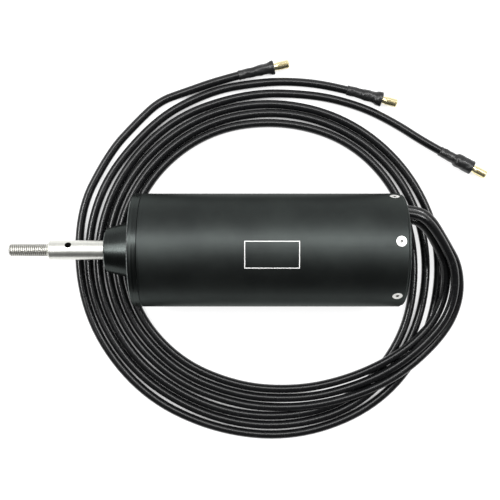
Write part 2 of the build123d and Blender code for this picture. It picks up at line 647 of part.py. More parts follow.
def balance_ring(start, drilled_face, drilled_way):
    """A brass ring at one end of the rotor, drilled in two places to balance it."""
    outer = ROTOR_RADIUS - SLEEVE_THICKNESS
    disc = ring(start, start + BALANCE_RING_THICKNESS, CORE_SEAT_DIAMETER / 2 + ROTOR_FIT, outer)
    place = (drilled_face, 0, outer - BALANCE_HOLE_DIAMETER)
    pit = rod_along(place, (drilled_way, 0, 0), BALANCE_HOLE_DEPTH, BALANCE_HOLE_DIAMETER / 2)
    return disc - [Rot(X=turn) * pit for turn in BALANCE_HOLE_ANGLES]


def cable_potting():
    """The cast plug that seals the outlet, with blind holes for the winding leads."""
    pocket_floor = MOTOR_LENGTH - OUTLET_POCKET_DEPTH
    inner = rod_along(
        (REAR_SPIGOT_START, OUTLET_Y, 0), (1, 0, 0),
        pocket_floor - REAR_SPIGOT_START, OUTLET_BORE_DIAMETER / 2 - POTTING_FIT,
    )
    head = rod_along(
        (pocket_floor, OUTLET_Y, 0), (1, 0, 0),
        POTTING_FACE - pocket_floor, OUTLET_POCKET_DIAMETER / 2 - POTTING_FIT,
    )
    plug = inner + head
    reach = pocket_floor + LEAD_IN_POCKET - REAR_SPIGOT_START + LEAD_CLEARANCE
    for route in (ROUTE_U, ROUTE_V, ROUTE_W):
        start = (REAR_SPIGOT_START, route[0][1], route[0][2])
        plug -= rod_along(start, (1, 0, 0), reach, LEAD_DIAMETER / 2 + LEAD_CLEARANCE)
    return plug


def phase_lead(tooth, route):
    """A winding's tail: off the coil's rear face, across to the outlet and into the potting."""
    space = STACK_FIT + LINER_THICKNESS + WINDING_CLEARANCE
    coil_end = STACK_END + INSULATOR_THICKNESS + WINDING_CLEARANCE
    coil_end += TOOTH_WIDTH / 2 + space + COIL_BUILD
    angle = radians(360.0 * tooth / SLOT_COUNT)
    radius = (SLOT_TOP + SLOT_BOTTOM) / 2
    end_x = MOTOR_LENGTH - OUTLET_POCKET_DEPTH + LEAD_IN_POCKET
    y, z = route[0][1], route[0][2]
    if tooth == 0:
        return rod_along((coil_end, y, z), (1, 0, 0), end_x - coil_end, LEAD_DIAMETER / 2)
    first = (coil_end, radius * cos(angle), radius * sin(angle))
    gap = REAR_SPIGOT_START - coil_end
    corners = [
        first,
        (coil_end + LEAD_BENDS[0] * gap, first[1], first[2]),
        (coil_end + LEAD_BENDS[1] * gap, y, z),
        (end_x, y, z),
    ]
    line = FilletPolyline(*corners, radius=LEAD_BEND_RADIUS)
    return sweep(Plane(origin=first, z_dir=(1, 0, 0)) * Circle(LEAD_DIAMETER / 2), line)


def arc_radii(route):
    """The radius at each corner: its arc takes a set share of the shorter run beside it."""
    points = [Vector(*point) for point in route]
    radii = []
    for before, corner, after in zip(points, points[1:], points[2:]):
        run = min((corner - before).length, (after - corner).length)
        turn = (corner - before).get_angle(after - corner)
        radii.append(CABLE_ARC_SHARE * run / tan(radians(turn / 2)))
    return radii


def phase_cable(name, route):
    """A cable as a plain tube along its route."""
    radii = arc_radii(route)
    line = FilletPolyline(*route, radius=radii)
    foot = Plane(origin=route[0], z_dir=line % 0)
    tube = sweep(foot * Circle(CABLE_DIAMETER / 2), line, is_frenet=True)
    expected = pi * (CABLE_DIAMETER / 2) ** 2 * line.length
    print(name, "length", round(line.length, 1), "volume over section by length",
          round(tube.volume / expected, 5))
    print("  radii", [round(radius, 1) for radius in radii])
    return tube


def connector_plane(route):
    """A frame at the cable's end, with its Z along the cable."""
    before, end = Vector(*route[-2]), Vector(*route[-1])
    return Plane(origin=end, z_dir=end - before)


def lathe(profile):
    """A piece turned about its own Z axis, from a half profile of (radius, z) points."""
    return revolve(Plane.XZ * make_face(Polyline(*profile, close=True)), Axis.Z)


def heat_shrink():
    """The sleeve over a cable's end and the pin's barrel, with Z = 0 at the cable's end."""
    neck = SLEEVE_NECK_DIAMETER / 2
    body = SLEEVE_BODY_RADIUS
    cable = CABLE_DIAMETER / 2 + SLEEVE_CLEARANCE
    barrel = BARREL_DIAMETER / 2 + SLEEVE_CLEARANCE
    mouth = SLEEVE_BODY_LENGTH
    return lathe([
        (cable, -SLEEVE_NECK_LENGTH),
        (neck, -SLEEVE_NECK_LENGTH),
        (neck, -SLEEVE_SHOULDER),
        (body - SLEEVE_LIP, SLEEVE_SHOULDER),
        (body, mouth - SLEEVE_LIP_LENGTH),
        (body, mouth),
        (barrel, mouth),
        (barrel, 0),
        (cable, 0),
    ])


def bullet_connector():
    """The gold pin: a barrel in the sleeve and a slotted spring pin that stands out."""
    barrel = BARREL_DIAMETER / 2
    pin = PIN_DIAMETER / 2
    waist = PIN_WAIST / 2
    mouth = SLEEVE_BODY_LENGTH
    tip = mouth + PIN_LENGTH
    body = lathe([
        (0, 0),
        (barrel, 0),
        (barrel, mouth - BARREL_RECESS),
        (waist, mouth - BARREL_RECESS),
        (waist, mouth + PIN_WAIST_LENGTH),
        (pin, mouth + PIN_BULGE_START),
        (pin, tip - PIN_TIP_CHAMFER),
        (pin - PIN_TIP_CHAMFER, tip),
        (0, tip),
    ])
    slot = Pos(Z=tip) * Box(2 * PIN_DIAMETER, PIN_SLOT_WIDTH, 2 * PIN_SLOT_LENGTH)
    return body - slot - Rot(Z=90) * slot


write("front_cover", front_cover())
write("housing_tube", housing_tube())
write("rear_cover", rear_cover())
write("rear_cover_screws", *rear_cover_screws())
write("front_o_ring", o_ring(FRONT_SPIGOT_END - O_RING_OFFSET))
write("rear_o_ring", o_ring(REAR_SPIGOT_START + O_RING_OFFSET))
write("shaft", shaft())

for place, size, start in (
    ("front", FRONT_BEARING, FRONT_BEARING_X),
    ("rear", REAR_BEARING, REAR_BEARING_X),
):
    for piece, solids in bearing(size, start).items():
        write(f"{place}_bearing_{piece}", *solids)

seat = FRONT_BEARING["outer"] / 2
write("bearing_circlip", circlip(
    FRONT_BEARING_END + 2 * CIRCLIP_CLEARANCE,
    seat - CIRCLIP_HEIGHT,
    seat + CIRCLIP_DEPTH - CIRCLIP_CLEARANCE,
))
core_seat = CORE_SEAT_DIAMETER / 2
write("rotor_circlip", circlip(
    ROTOR_END + BALANCE_RING_THICKNESS + 2 * CIRCLIP_CLEARANCE,
    core_seat - CIRCLIP_DEPTH + CIRCLIP_CLEARANCE,
    core_seat + CIRCLIP_HEIGHT,
))
write("preload_washer", preload_washer())
seal_start = -NOSE_LENGTH + SEAL_RECESS
write("shaft_seal_outer", shaft_seal(seal_start))
write("shaft_seal_inner", shaft_seal(seal_start + SEAL_WIDTH + SEAL_SPACING))

write("stator_stack", toothed_plate(
    STACK_START, STACK_LENGTH, STATOR_RADIUS, BORE_RADIUS - STACK_FIT, 0))
plate_bore = STATOR_RADIUS + INSULATOR_MARGIN
plate_outer = BORE_RADIUS - INSULATOR_MARGIN
plate_margin = STACK_FIT + LINER_THICKNESS
write("front_insulator", toothed_plate(
    STACK_START - INSULATOR_THICKNESS, INSULATOR_THICKNESS, plate_bore, plate_outer, plate_margin))
write("rear_insulator", toothed_plate(
    STACK_END, INSULATOR_THICKNESS, plate_bore, plate_outer, plate_margin))
write("slot_liners", slot_liners())
coil = tooth_coil()
for phase, letter in enumerate("uvw"):
    coils = [Rot(X=360.0 * tooth / SLOT_COUNT) * coil for tooth in range(phase, SLOT_COUNT, 3)]
    write(f"winding_{letter}", *coils)

poles = around(magnet(), MAGNET_COUNT)
write("magnets_north", *poles[0::2])
write("magnets_south", *poles[1::2])
write("rotor_core", rotor_core())
write("rotor_sleeve", ring(ROTOR_START, ROTOR_END, MAGNET_RADIUS + MAGNET_CLEARANCE, ROTOR_RADIUS))
write("front_balance_ring", balance_ring(
    ROTOR_START - BALANCE_RING_THICKNESS, ROTOR_START - BALANCE_RING_THICKNESS, 1))
write("rear_balance_ring", balance_ring(
    ROTOR_END, ROTOR_END + BALANCE_RING_THICKNESS, -1))

write("cable_potting", cable_potting())
for letter, tooth, route in (("u", 0, ROUTE_U), ("v", 1, ROUTE_V), ("w", -1, ROUTE_W)):
    write(f"phase_lead_{letter}", phase_lead(tooth, route))
    write(f"phase_cable_{letter}", phase_cable(f"phase_cable_{letter}", route))
    end = connector_plane(route)
    write(f"heat_shrink_{letter}", end * heat_shrink())
    write(f"bullet_connector_{letter}", end * bullet_connector())
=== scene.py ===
# %% [markdown]
# A sealed brushless motor lies on a pale table with its three phase cables looped round it.
# The can, the shaft and the inner works come from the CAD frame at their real size. This lesson
# adds what a camera sees: the finish of each surface, a real screw thread, soft cables and
# shrunk sleeves. Lengths are in metres, and the origin is the middle of the front mounting
# face. +X runs along the can to the rear and +Z points up, at the camera.

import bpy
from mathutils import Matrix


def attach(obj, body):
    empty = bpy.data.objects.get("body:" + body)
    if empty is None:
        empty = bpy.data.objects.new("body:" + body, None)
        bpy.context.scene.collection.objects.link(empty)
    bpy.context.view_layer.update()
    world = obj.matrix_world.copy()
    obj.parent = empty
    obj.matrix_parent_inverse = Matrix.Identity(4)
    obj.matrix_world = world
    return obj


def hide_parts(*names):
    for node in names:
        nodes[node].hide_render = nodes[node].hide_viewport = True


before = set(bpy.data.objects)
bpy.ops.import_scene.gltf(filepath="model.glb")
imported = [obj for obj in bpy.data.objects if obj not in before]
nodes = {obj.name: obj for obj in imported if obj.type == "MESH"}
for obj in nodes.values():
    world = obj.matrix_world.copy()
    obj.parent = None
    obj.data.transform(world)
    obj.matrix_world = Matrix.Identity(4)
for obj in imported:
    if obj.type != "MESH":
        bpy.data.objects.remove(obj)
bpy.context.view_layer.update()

# %% The other tools
from math import cos, pi, radians, sin

import bmesh
import bpy
from mathutils import Matrix, Vector, noise

print("Blender", bpy.app.version_string)

# %% [markdown]
# The portrait is taken from straight above, so the camera looks down -Z with +Y at the top of
# the picture. An orthographic camera would be simpler, but the can's near rim looks larger than
# its far rim. That difference gives the camera's height, about 0.48 m over the shaft's axis, and
# the lens then follows from the can's length in the picture.

# %% Camera straight above the motor
CAMERA_MIDDLE = (0.0716, 0.0)  # the point on the shaft's axis that the camera looks at
CAMERA_HEIGHT = 0.480
CAMERA_LENS = 55.7  # millimetres
SENSOR_WIDTH = 36.0  # millimetres

camera_data = bpy.data.cameras.new("overhead_camera")
camera_data.lens = CAMERA_LENS
camera_data.sensor_width = SENSOR_WIDTH
camera_data.clip_start = 0.01
camera = bpy.data.objects.new("overhead_camera", camera_data)
camera.location = (*CAMERA_MIDDLE, CAMERA_HEIGHT)
bpy.context.scene.collection.objects.link(camera)
bpy.context.scene.camera = camera
print("camera at", tuple(camera.location), "lens", CAMERA_LENS)

# %% [markdown]
# Each phase cable is fine copper strand in black silicone, limp enough to lie flat on the
# table. The three leave the rear cover side by side, sweep down to the table, go round the
# motor about one and three quarter times and end in gold bullet pins. A cable could be swept
# as a mesh, but a NURBS curve with a round bevel keeps the line smooth and easy to move: the
# points pull the line towards them without a kink.

# %% The cables' routes, from the rear cover to the pins
TABLE_TOP = -0.035  # the can lies on the table
CABLE_DIAMETER = 0.0055
EXIT_X = 0.1625  # the potting's face, just inside the rear face
LYING = -0.03225  # middle of a cable that lies on the table
PLUGGED = -0.0308  # middle of a sleeve that lies on the table

ROUTES = {
    "u": [
        (EXIT_X, 0.02543, -0.0017), (0.1735, 0.02543, -0.0017), (0.1842, 0.021, -0.0038),
        (0.1953, 0.0058, -0.0113), (0.2069, -0.011, -0.0198), (0.2083, -0.0338, -0.0245),
        (0.1975, -0.0565, -0.026), (0.1688, -0.0829, -0.026), (0.1354, -0.0974, -0.026),
        (0.1018, -0.1043, -0.0298), (0.063, -0.1026, LYING), (0.0205, -0.0863, LYING),
        (-0.0134, -0.0513, LYING), (-0.0258, -0.0024, LYING), (-0.0106, 0.0483, LYING),
        (0.0296, 0.086, LYING), (0.0814, 0.0997, LYING), (0.1351, 0.0883, LYING),
        (0.1773, 0.0532, LYING), (0.199, 0.0025, LYING), (0.1916, -0.0555, LYING),
        (0.1601, -0.1006, LYING), (0.1064, -0.1238, LYING), (0.0495, -0.12, LYING),
        (-0.0033, -0.0938, LYING), (-0.0389, -0.042, LYING), (-0.0431, 0.0226, LYING),
        (-0.0215, 0.0645, LYING), (-0.003, 0.0846, LYING), (0.0116, 0.0984, LYING),
        (0.027, 0.1039, LYING), (0.0542, 0.11305, PLUGGED), (0.0756, 0.118, PLUGGED),
    ],
    "v": [
        (EXIT_X, 0.02249, 0.0034), (0.1728, 0.02249, 0.0034), (0.182, 0.0182, 0.002),
        (0.193, 0.0042, -0.0053), (0.203, -0.012, -0.0143), (0.2032, -0.033, -0.0192),
        (0.194, -0.0525, -0.0215), (0.1674, -0.0768, -0.0242), (0.1358, -0.0915, -0.0286),
        (0.1039, -0.0988, LYING), (0.0639, -0.0967, LYING), (0.0214, -0.0798, LYING),
        (-0.0111, -0.0427, LYING), (-0.0188, 0.0059, LYING), (0.0, 0.052, LYING),
        (0.0402, 0.0845, LYING), (0.092, 0.0934, LYING), (0.1401, 0.0785, LYING),
        (0.176, 0.0434, LYING), (0.1909, -0.006, LYING), (0.181, -0.0596, LYING),
        (0.1461, -0.1029, LYING), (0.0931, -0.1186, LYING), (0.0385, -0.1096, LYING),
        (-0.0101, -0.0779, LYING), (-0.0373, -0.0244, LYING), (-0.0315, 0.0369, LYING),
        (0.0067, 0.0853, LYING), (0.0452, 0.1054, LYING), (0.078, 0.111, LYING),
        (0.102, 0.1116, LYING), (0.1259, 0.1082, PLUGGED), (0.1471, 0.1025, PLUGGED),
    ],
    "w": [
        (EXIT_X, 0.01955, -0.0017), (0.1726, 0.01955, -0.0017), (0.1816, 0.015, -0.0043),
        (0.1907, 0.0022, -0.0113), (0.1992, -0.013, -0.0198), (0.1982, -0.0322, -0.0245),
        (0.1893, -0.0511, -0.026), (0.166, -0.0706, -0.0255), (0.1357, -0.0854, -0.03),
        (0.1023, -0.0928, LYING), (0.0635, -0.0904, LYING), (0.0229, -0.0731, LYING),
        (-0.0064, -0.0375, LYING), (-0.012, 0.0082, LYING), (0.0067, 0.0511, LYING),
        (0.0457, 0.0803, LYING), (0.0944, 0.0861, LYING), (0.1396, 0.0717, LYING),
        (0.1714, 0.0368, LYING), (0.1823, -0.0097, LYING), (0.1736, -0.0601, LYING),
        (0.1377, -0.1012, LYING), (0.085, -0.1124, LYING), (0.0341, -0.1011, LYING),
        (-0.0102, -0.0685, LYING), (-0.0322, -0.0158, LYING), (-0.0212, 0.0412, LYING),
        (0.0164, 0.0856, LYING), (0.0678, 0.104, LYING), (0.113, 0.1032, LYING),
        (0.144, 0.0955, LYING), (0.1675, 0.084, LYING), (0.1881, 0.0701, PLUGGED),
        (0.2075, 0.0598, PLUGGED),
    ],
}
for phase, route in ROUTES.items():
    print("cable", phase, "has", len(route), "points")


# %% A cable as a NURBS curve
def cable(phase):
    """One phase cable along its route. The order comes after the points, or it stays straight."""
    curve = bpy.data.curves.new(f"silicone_cable_{phase}", "CURVE")
    curve.dimensions = "3D"
    curve.bevel_depth = 1.0  # times each point's radius
    curve.bevel_resolution = 6
    curve.resolution_u = 10
    curve.use_fill_caps = True
    spline = curve.splines.new("NURBS")
    spline.points.add(len(ROUTES[phase]) - 1)
    for point, place in zip(spline.points, ROUTES[phase]):
        point.co = (*place, 1.0)
        point.radius = CABLE_DIAMETER / 2
    spline.order_u = 3
    spline.use_endpoint_u = True
    piece = bpy.data.objects.new(f"silicone_cable_{phase}", curve)
    bpy.context.scene.collection.objects.link(piece)
    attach(piece, "stator")
    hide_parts(f"phase_cable_{phase}")
    return piece


cables = {phase: cable(phase) for phase in ROUTES}
print("cables:", sorted(piece.name for piece in cables.values()))

# %% [markdown]
# Most turned things here, a shrunk sleeve or a threaded stud, are rings of points round an
# axis, with the radius changed a little from place to place. Blender's Screw modifier can turn
# a profile, but it can't wrinkle it, so one small function builds the skin ring by ring. It
# takes the profile as (distance along the axis, radius) and a function that alters each point's
# radius.


# %% A turned skin
def turned_skin(name, profile, steps, alter, sharp_above):
    """A closed mesh turned about its own Z axis, smooth except at edges over the given angle."""
    form = bmesh.new()
    rings = []
    for along, radius in profile:
        ring = []
        for step in range(steps):
            angle = 2 * pi * step / steps
            reach = alter(angle, along, radius)
            ring.append(form.verts.new((reach * cos(angle), reach * sin(angle), along)))
        rings.append(ring)
    for below, above in zip(rings, rings[1:]):
        for step in range(steps):
            following = (step + 1) % steps
            form.faces.new((below[step], below[following], above[following], above[step]))
    form.faces.new(reversed(rings[0]))
    form.faces.new(rings[-1])
    mesh = bpy.data.meshes.new(name)
    form.to_mesh(mesh)
    form.free()
    mesh.shade_smooth()
    mesh.set_sharp_from_angle(angle=radians(sharp_above))
    piece = bpy.data.objects.new(name, mesh)
    bpy.context.scene.collection.objects.link(piece)
    print(name, "has", len(mesh.vertices), "points")
    return piece


# %% [markdown]
# A heat-shrink sleeve starts as a loose tube, and hot air pulls it tight over the cable and the
# pin's barrel. It keeps small dents and ripples, a step where the barrel ends, and often a
# slightly flared mouth. No two come out alike: the first of these is one long cone, the second
# has a collar at its mouth, and the third is a clean step. A cloth simulation could shrink a
# tube, but a turned profile puts the step and the mouth where they are on the real ones, and
# smooth noise is enough for the ripples.

# %% Profiles of the three sleeves, from neck to mouth
SLEEVES = {
    "u": [
        (-0.0120, 0.00310), (-0.0117, 0.00335), (-0.0110, 0.00338), (-0.0105, 0.00326),
        (-0.0030, 0.00338), (0.0020, 0.00358), (0.0055, 0.00372), (0.0075, 0.00390),
        (0.0090, 0.00430), (0.0100, 0.00472), (0.0110, 0.00492), (0.0118, 0.00488),
        (0.0120, 0.00465), (0.0119, 0.00335), (0.0100, 0.00328),
    ],
    "v": [
        (-0.0120, 0.00310), (-0.0117, 0.00338), (-0.0110, 0.00342), (-0.0104, 0.00328),
        (-0.0030, 0.00332), (-0.0015, 0.00340), (-0.0004, 0.00374), (0.0012, 0.00388),
        (0.0055, 0.00384), (0.0072, 0.00394), (0.0082, 0.00452), (0.0094, 0.00496),
        (0.0108, 0.00508), (0.0117, 0.00498), (0.0120, 0.00465), (0.0119, 0.00335),
        (0.0100, 0.00328),
    ],
    "w": [
        (-0.0120, 0.00310), (-0.0117, 0.00338), (-0.0110, 0.00340), (-0.0104, 0.00328),
        (-0.0018, 0.00334), (-0.0008, 0.00356), (0.0000, 0.00428), (0.0010, 0.00452),
        (0.0060, 0.00458), (0.0105, 0.00468), (0.0116, 0.00468), (0.0120, 0.00448),
        (0.0119, 0.00335), (0.0100, 0.00328),
    ],
}
print("points in each profile:", {phase: len(profile) for phase, profile in SLEEVES.items()})

# %% More stations along a profile
STATION_STEP = 0.0005


def finer(profile):
    """The profile with extra stations, so that ripples have points to move."""
    stations = [profile[0]]
    for (along, radius), (next_along, next_radius) in zip(profile, profile[1:]):
        parts = max(1, round(abs(next_along - along) / STATION_STEP))
        for part in range(1, parts + 1):
            share = part / parts
            stations.append((
                along + (next_along - along) * share,
                radius + (next_radius - radius) * share,
            ))
    return stations


print("stations in each sleeve:", {phase: len(finer(SLEEVES[phase])) for phase in SLEEVES})


# %% Where each cable ends
def cable_end_frame(phase):
    """The frame at a cable's end, with Z along the cable."""
    before, end = Vector(ROUTES[phase][-2]), Vector(ROUTES[phase][-1])
    turn = (end - before).to_track_quat("Z", "Y").to_matrix().to_4x4()
    return Matrix.Translation(end) @ turn


for phase in ROUTES:
    print("cable", phase, "ends at", tuple(cable_end_frame(phase).translation))

# %% Sleeves over the cable ends
SLEEVE_SIDES = 48
DENT_DEPTH = 0.00036
DENT_LENGTH = 0.004  # along the sleeve
DENT_CROWDING = 1.4  # how fast the dents follow each other
DENT_INWARD = 0.35  # shifts the noise, so that most dents go inwards
UNDERSIDE = 0.5  # how far down a point has to face before the table flattens it


def sleeve(phase):
    """One shrunk sleeve, rippled by smooth noise and flat where it lies on the table."""
    own_dents = 10.0 * ord(phase)  # a far part of the noise, so that no two sleeves are alike
    end_frame = cable_end_frame(phase)
    clear = end_frame.translation.z - TABLE_TOP

    def ripple(angle, along, radius):
        spot = Vector((cos(angle), sin(angle), along / DENT_LENGTH + own_dents))
        reach = radius + DENT_DEPTH * (noise.noise(spot * DENT_CROWDING) - DENT_INWARD)
        downward = -(end_frame.to_3x3() @ Vector((cos(angle), sin(angle), 0.0))).z
        return min(reach, clear / downward) if downward > UNDERSIDE else reach

    piece = turned_skin(f"shrunk_sleeve_{phase}", finer(SLEEVES[phase]), SLEEVE_SIDES, ripple,
                        sharp_above=50.0)
    piece.matrix_world = end_frame
    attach(piece, "stator")
    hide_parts(f"heat_shrink_{phase}")
    return piece


sleeves = {phase: sleeve(phase) for phase in ROUTES}

# %% [markdown]
# The shaft's stud carries a coarse M8 thread, rolled in stainless steel. A bump map would do
# from far off, but the thread also makes the stud's edge toothed, so it is real geometry: the
# radius follows a trapezoid that climbs one pitch for each turn. The rest of the shaft is the
# CAD mesh, copied without its plain stud.

# %% The shaft without its plain stud
SHOULDER_X = -0.0528
SAME_PLACE = 1e-5  # points nearer than this are at the same place along the shaft


def copied_shaft():
    """A copy of the CAD shaft that ends at its shoulder, where the thread piece starts."""
    mesh = nodes["shaft"].data.copy()
    mesh.name = "propeller_shaft"
    form = bmesh.new()
    form.from_mesh(mesh)
    stud = [
        face for face in form.faces
        if max(v.co.x for v in face.verts) < SHOULDER_X + SAME_PLACE
        and min(v.co.x for v in face.verts) < SHOULDER_X - SAME_PLACE
    ]
    print("the shaft's faces:", len(form.faces), "of which the plain stud's:", len(stud))
    bmesh.ops.delete(form, geom=stud, context="FACES")
    form.to_mesh(mesh)
    form.free()
    piece = bpy.data.objects.new("propeller_shaft", mesh)
    bpy.context.scene.collection.objects.link(piece)
    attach(piece, "rotor")
    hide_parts("shaft")
    return piece


propeller_shaft = copied_shaft()

# %% The thread's profile
THREAD_PITCH = 0.00125
CREST_BEYOND = 0.86  # share of the way from a root's middle to a crest's, where the crest is flat
ROOT_WITHIN = 0.24  # the same, where the root is flat


def thread_depth_at(angle, along):
    """How deep the thread is cut here, as a share: 0 on a crest, 1 in a root."""
    place = (along / THREAD_PITCH - angle / (2 * pi)) % 1.0
    flank = abs(2 * place - 1)  # 0 in the middle of a root, 1 in the middle of a crest
    return min(1.0, max(0.0, (CREST_BEYOND - flank) / (CREST_BEYOND - ROOT_WITHIN)))


print("depth at a root and a crest:", thread_depth_at(0, THREAD_PITCH / 2), thread_depth_at(0, 0))

# %% The M8 thread
STUD_TIP_X = -0.0773
NECK_RADIUS = 0.0033
NECK_LENGTH = 0.0006
NECK_SUNK = 0.0002  # how far the neck reaches into the shoulder
THREAD_RADIUS = 0.0040
THREAD_DEPTH = 0.00072
THREAD_START = 0.0011  # from the shoulder
THREAD_RUN_OUT = 0.0007  # the length over which the thread reaches its full depth
TIP_CHAMFER = 0.0009
ROWS_A_TURN = 12
THREAD_SIDES = 72


def thread():
    """The stud: a relief neck at the shoulder, the thread and a chamfered tip."""
    length = SHOULDER_X - STUD_TIP_X

    def cut(angle, along, radius):
        if along <= THREAD_START:
            return radius
        fade = min(1.0, (along - THREAD_START) / THREAD_RUN_OUT)
        depth = THREAD_DEPTH * thread_depth_at(angle, along) * fade
        tip = max(0.0, along - (length - TIP_CHAMFER))
        return min(radius - depth, THREAD_RADIUS - tip)

    threaded = length - THREAD_START
    rows = round(threaded / (THREAD_PITCH / ROWS_A_TURN))
    profile = [(along, NECK_RADIUS) for along in (-NECK_SUNK, 0.0, NECK_LENGTH)]
    profile += [(THREAD_START + threaded * row / rows, THREAD_RADIUS) for row in range(rows + 1)]
    piece = turned_skin("stud_thread", profile, THREAD_SIDES, cut, sharp_above=40.0)
    piece.matrix_world = Matrix.Translation((SHOULDER_X, 0, 0)) @ Matrix.Rotation(-pi / 2, 4, "Y")
    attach(piece, "rotor")
    return piece


stud_thread = thread()

# %% [markdown]
# A material in Blender is a graph of nodes. Wired by hand, even simple arithmetic is hard to
# read, so a small class wraps an output socket and lets Python's operators add the Math nodes:
# 1 - mask, or height * 0.3 + grain. A second class holds a node tree and its one method for
# every other node, and a third is one material with its Principled surface.


# %% Shader values that take part in arithmetic
class Shade:
    """An output socket of a shader node, with the operators that these finishes use."""

    def __init__(self, graph, socket):
        self.graph = graph
        self.socket = socket

    def maths(self, operation, first, second=0.0):
        return self.graph.node("ShaderNodeMath", {"operation": operation}, {0: first, 1: second})

    def __add__(self, other):
        return self.maths("ADD", self, other)

    def __radd__(self, other):
        return self.maths("ADD", other, self)

    def __sub__(self, other):
        return self.maths("SUBTRACT", self, other)

    def __rsub__(self, other):
        return self.maths("SUBTRACT", other, self)

    def __mul__(self, other):
        return self.maths("MULTIPLY", self, other)

    def __rmul__(self, other):
        return self.maths("MULTIPLY", other, self)

    def __gt__(self, other):
        return self.maths("GREATER_THAN", self, other)

    def __lt__(self, other):
        return self.maths("LESS_THAN", self, other)

    def __abs__(self):
        return self.maths("ABSOLUTE", self)

    def root(self):
        return self.maths("SQRT", self)

    def wave(self):
        return self.maths("SINE", self)


# %% A node tree under construction
class Graph:
    """A node tree with the one way to add a node to it."""

    def __init__(self, tree):
        self.tree = tree

    def feed(self, socket, value):
        """Links a shade to the socket, or sets the socket's own number, vector or colour."""
        if isinstance(value, Shade):
            self.tree.links.new(value.socket, socket)
        elif socket.type == "RGBA":
            socket.default_value = (*value, 1.0)
        else:
            socket.default_value = value

    def node(self, kind, settings=None, sockets=None, output=0):
        """Any node: its type, its settings, which are set first, and its sockets' values."""
        made = self.tree.nodes.new(kind)
        for setting, value in (settings or {}).items():
            if setting == "stops":
                self.set_stops(made.color_ramp, value)
            else:
                setattr(made, setting, value)
        for socket, value in (sockets or {}).items():
            self.feed(made.inputs[socket], value)
        return Shade(self, made.outputs[output])

    def set_stops(self, ramp, stops):
        """A colour ramp's two stops, as (place, grey level)."""
        for element, (place, level) in zip(ramp.elements, stops):
            element.position = place
            element.color = (level, level, level, 1.0)

    def ramp(self, value, *stops):
        """The value stretched between two stops."""
        return self.node("ShaderNodeValToRGB", {"stops": stops}, {"Fac": value})

    def blend(self, share, first, second):
        """A colour between two others."""
        return self.node("ShaderNodeMix", {"data_type": "RGBA"},
                         {0: share, 6: first, 7: second}, output=2)

    def parts(self, vector):
        """A vector's three parts."""
        outputs = self.node("ShaderNodeSeparateXYZ", sockets={0: vector}).socket.node.outputs
        return [Shade(self, outputs[i]) for i in range(3)]


# %% One material
class Finish(Graph):
    """A material: its Principled surface and the nodes that feed it."""

    def __init__(self, name, **surface):
        self.material = bpy.data.materials.new(name)
        self.material.use_nodes = True
        super().__init__(self.material.node_tree)
        self.surface = self.tree.nodes["Principled BSDF"]
        self.wear(**surface)

    def place(self):
        """Where a point is on the object, in metres, as a vector."""
        return self.node("ShaderNodeTexCoord", output="Object")

    def axes(self):
        """The place's three parts."""
        return self.parts(self.place())

    def grain(self, scale, stretch=(1, 1, 1), detail=3.0, roughness=0.55):
        """Smooth noise with its features stretched along some axes. Scale is per metre."""
        spread = self.node("ShaderNodeVectorMath", {"operation": "MULTIPLY"},
                           {0: self.place(), 1: stretch})
        return self.node("ShaderNodeTexNoise", {"noise_dimensions": "3D"}, {
            "Vector": spread, "Scale": scale, "Detail": detail, "Roughness": roughness})

    def relief(self, height, depth):
        """Turns a height into the surface's normal. Depth is in metres."""
        self.wear(Normal=self.node("ShaderNodeBump", sockets={
            "Strength": 1.0, "Distance": depth, "Height": height}))

    def wear(self, **sockets):
        """Feeds sockets of the surface, by name."""
        for socket, value in sockets.items():
            self.feed(self.surface.inputs[socket.replace("_", " ")], value)

    def on(self, *pieces):
        """Puts the material on pieces, in every one of their slots."""
        for piece in pieces:
            if not piece.data.materials:
                piece.data.materials.append(self.material)
            for index in range(len(piece.data.materials)):
                piece.data.materials[index] = self.material
        print(self.material.name, "on", [piece.name for piece in pieces])


# %% [markdown]
# The can and both covers are aluminium, turned on a lathe and then anodised black. A black
# plastic surface would nearly do, but it goes pale at a glancing angle, and the can's edges stay
# dark. So this is a metal of a nearly black colour, as the dyed oxide lets no more than a
# twentieth of the metal's shine through, with a darker tint for glancing angles. The turning
# tool left fine rings, which are a very shallow bump that changes mostly along the axis, and
# coarser ones on the front rim.

# %% Black anodised aluminium
ANODISED_BLACK = (0.034, 0.038, 0.037)
ANODISED_GREY = (0.044, 0.050, 0.048)
GLANCING_TINT = (0.62, 0.64, 0.63)
COARSE_RINGS = (0.00005, 0.0085)  # where the tool's rings are coarser, along the axis
RING_RELIEF = 0.000006


def band(along, start, end):
    """A mask that is 1 between two places along an axis."""
    return (along > start) * (along < end)


print("the oxide shows", ANODISED_BLACK, "to", ANODISED_GREY, "of the light")

# %% [markdown]
# The chamfers are painted lighter in narrow bands: a painted highlight along each edge, broken
# into patches where the oxide rubs through. Blender can find edges with Geometry's Pointiness,
# but that needs a dense mesh, and the chamfers here have known places, so a narrow band along the
# axis is enough. Each band ends just short of the flat face beside it.
# The thin white printed frame is made in the same way, as a rectangle less a smaller one.

# %% Painted edge highlights, with rubbed patches
# painted highlight: the chamfer bands get this lighter colour, in rubbed patches
EDGE_HIGHLIGHT_AND_WEAR = (0.20, 0.21, 0.21)
NOSE_EDGE = (-0.01727, -0.0169)
FRONT_EDGE = (0.00003, 0.00055)
REAR_EDGE = (0.1648, 0.16497)


def highlight_and_wear_patches(finish):
    """Patches that say how much of the painted edge highlight and the rubbed oxide shows, from a
    quarter to all of it.
    """
    return finish.ramp(finish.grain(900, detail=2), (0.35, 0.25), (0.65, 1.0))


print("rubbed edges at", NOSE_EDGE, FRONT_EDGE, REAR_EDGE)

# %% The printed frame
PRINT_WHITE = (0.68, 0.68, 0.67)
PRINT_X = (0.0683, 0.1004)
PRINT_Y = (-0.0107, 0.0053)
PRINT_LINE = 0.0005


